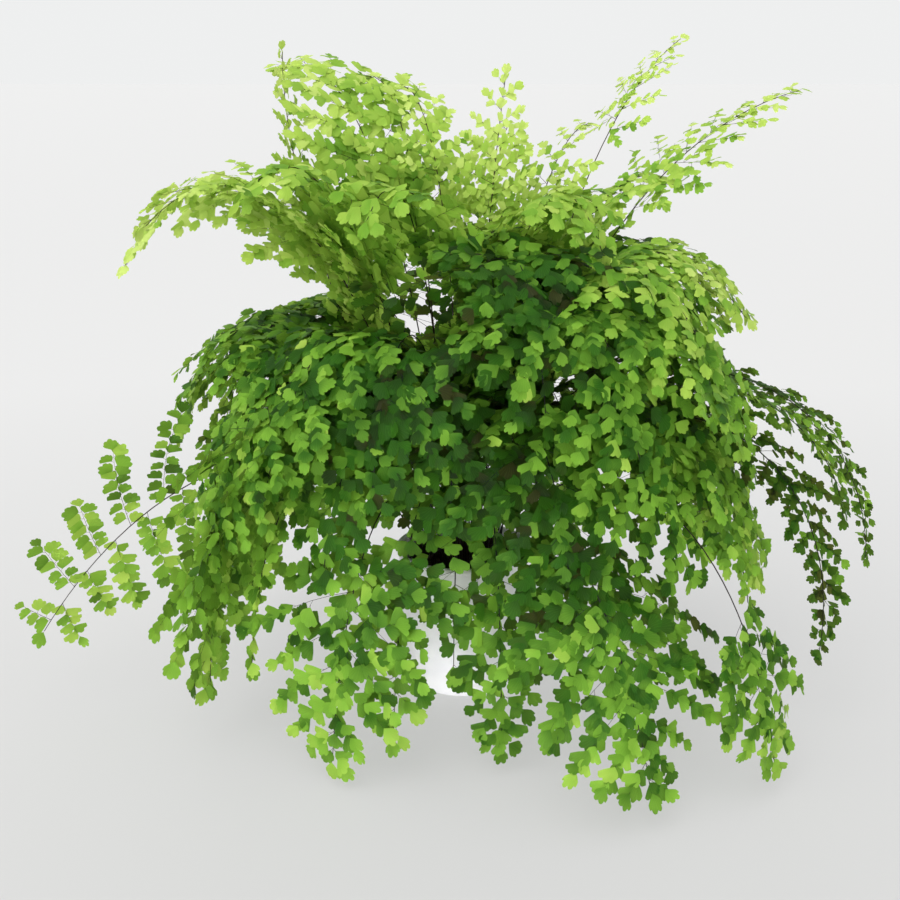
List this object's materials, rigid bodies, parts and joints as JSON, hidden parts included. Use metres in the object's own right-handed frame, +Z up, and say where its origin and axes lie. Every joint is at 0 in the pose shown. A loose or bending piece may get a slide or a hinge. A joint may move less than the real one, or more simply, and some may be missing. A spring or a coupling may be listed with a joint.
{
  "type": "potted maidenhair fern",
  "caption": "Potted maidenhair fern: thin dark stems rise from the soil of a small tapered white pot and arch out on all sides with small fan-shaped leaflets.",
  "frame": {"origin": "middle of the pot's base, on the surface that the pot stands on", "axes": "+Z up, +X to the right and +Y to the back as the plant is seen in its picture"},
  "size_m": [0.6854, 0.4558, 0.5145],
  "materials": {
    "pot": "satin moulded polypropylene, white with a cool tint",
    "soil": "loose dark peat and bark potting mix",
    "foliage": "thin soft matt leaflets on wiry black stems"
  },
  "bodies": {
    "root": {"pot": "pot", "soil": "soil", "frond_top_left_arch": "foliage", "frond_top_left_spire": "foliage", "frond_top_left_back": "foliage", "frond_top_left_front": "foliage", "frond_top_left_near": "foliage", "frond_top_middle": "foliage", "frond_top_middle_thin": "foliage", "frond_top_middle_back": "foliage", "frond_top_centre": "foliage", "frond_top_right_slim": "foliage", "frond_top_right_mid": "foliage", "frond_right_crown": "foliage", "frond_right_top_reach": "foliage", "frond_right_lime_a": "foliage", "frond_right_lime_b": "foliage", "frond_right_lime_c": "foliage", "frond_upper_left_arch": "foliage", "frond_upper_left_inner": "foliage", "frond_left_mass_a": "foliage", "frond_left_mass_b": "foliage", "frond_left_mass_c": "foliage", "frond_far_left_low": "foliage", "frond_left_cascade": "foliage", "frond_left_cascade_near": "foliage", "frond_right_arch_inner": "foliage", "frond_right_big_arch": "foliage", "frond_right_second_arch": "foliage", "frond_right_low": "foliage", "frond_right_low_small": "foliage", "frond_front_right": "foliage", "frond_front_centre": "foliage", "frond_front_left_near": "foliage", "frond_front_left": "foliage", "frond_front_small": "foliage", "frond_mid_inner_front": "foliage", "frond_mid_inner_right": "foliage", "frond_mid_front_a": "foliage", "frond_mid_front_b": "foliage", "frond_mid_front_c": "foliage", "frond_mid_front_d": "foliage", "frond_mid_right": "foliage", "frond_mid_right_low": "foliage", "frond_low_front_a": "foliage", "frond_low_front_b": "foliage", "frond_low_front_c": "foliage", "frond_low_right": "foliage", "frond_low_left": "foliage", "frond_back_a": "foliage", "frond_back_b": "foliage", "frond_back_c": "foliage", "frond_back_low_a": "foliage", "frond_back_low_b": "foliage", "frond_back_low_c": "foliage", "frond_back_low_d": "foliage", "frond_back_low_e": "foliage"}
  },
  "joints": []
}
